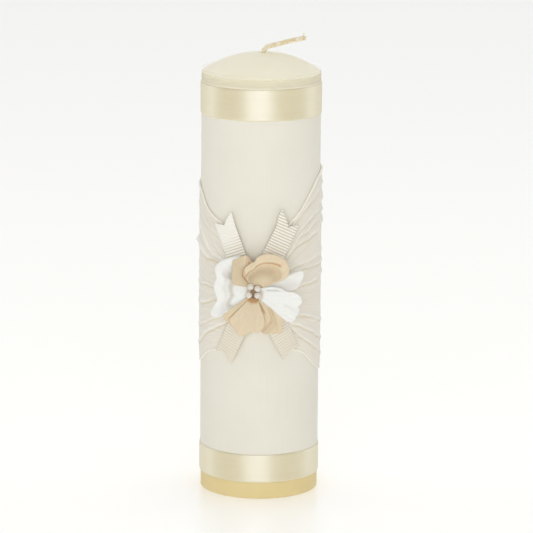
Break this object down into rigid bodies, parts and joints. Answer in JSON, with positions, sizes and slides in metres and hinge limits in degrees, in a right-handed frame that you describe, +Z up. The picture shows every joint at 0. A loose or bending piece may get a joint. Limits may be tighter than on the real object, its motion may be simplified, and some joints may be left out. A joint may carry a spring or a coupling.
{
  "type": "unity candle",
  "caption": "Tall ivory pillar candle with a domed top, sheer sleeve, satin bands and a gathered sash fixed by a fabric flower, for a wedding ceremony.",
  "frame": {"origin": "centre of the base, on the surface that the candle stands on", "axes": "+Z up along the candle's axis towards the wick; the flower faces -Y; +X to the right of someone facing the flower"},
  "size_m": [0.0734, 0.0826, 0.2728],
  "materials": {
    "ivory_wax": "smooth cast wax, slightly translucent, soft gloss",
    "braided_cotton": "braided cotton cord, waxed",
    "tinned_steel": "thin pressed sheet",
    "sleeve_organza": "sheer fine plain weave, soft sheen",
    "clear_tape": "clear",
    "satin_ribbon": "double-faced satin, cream, strong sheen",
    "craft_glue": "clear, set",
    "sash_chiffon": "thin crinkled chiffon, semi-sheer",
    "binding_thread": "fine twisted thread",
    "grosgrain_ribbon": "ribbed grosgrain, matte",
    "felt": "pressed felt, tan",
    "petal_beige": "stiffened fabric, beige, matte, fine radial grain",
    "petal_white": "stiffened fabric, white, matte, fine radial grain",
    "stamen_pearl": "pearlescent, glossy",
    "stamen_stem": "stiffened thread"
  },
  "bodies": {
    "root": {"wax_pillar": "ivory_wax", "wick_core": "braided_cotton", "wick_tail": "braided_cotton", "wick_sustainer": "tinned_steel", "organza_sleeve": "sleeve_organza", "sleeve_seam_tape": "clear_tape", "top_satin_ribbon": "satin_ribbon", "bottom_satin_ribbon": "satin_ribbon", "top_ribbon_glue": "craft_glue", "bottom_ribbon_glue": "craft_glue", "sash": "sash_chiffon", "gather_thread": "binding_thread", "grosgrain_strip_a": "grosgrain_ribbon", "grosgrain_strip_b": "grosgrain_ribbon", "flower_glue_dot": "craft_glue", "flower_backing": "felt", "petal_top": "petal_beige", "petal_bottom": "petal_beige", "petal_left": "petal_white", "petal_right": "petal_white", "stamen_stem_1": "stamen_stem", "stamen_pearl_1": "stamen_pearl", "stamen_stem_2": "stamen_stem", "stamen_pearl_2": "stamen_pearl", "stamen_stem_3": "stamen_stem", "stamen_pearl_3": "stamen_pearl", "stamen_stem_4": "stamen_stem", "stamen_pearl_4": "stamen_pearl"}
  },
  "joints": []
}
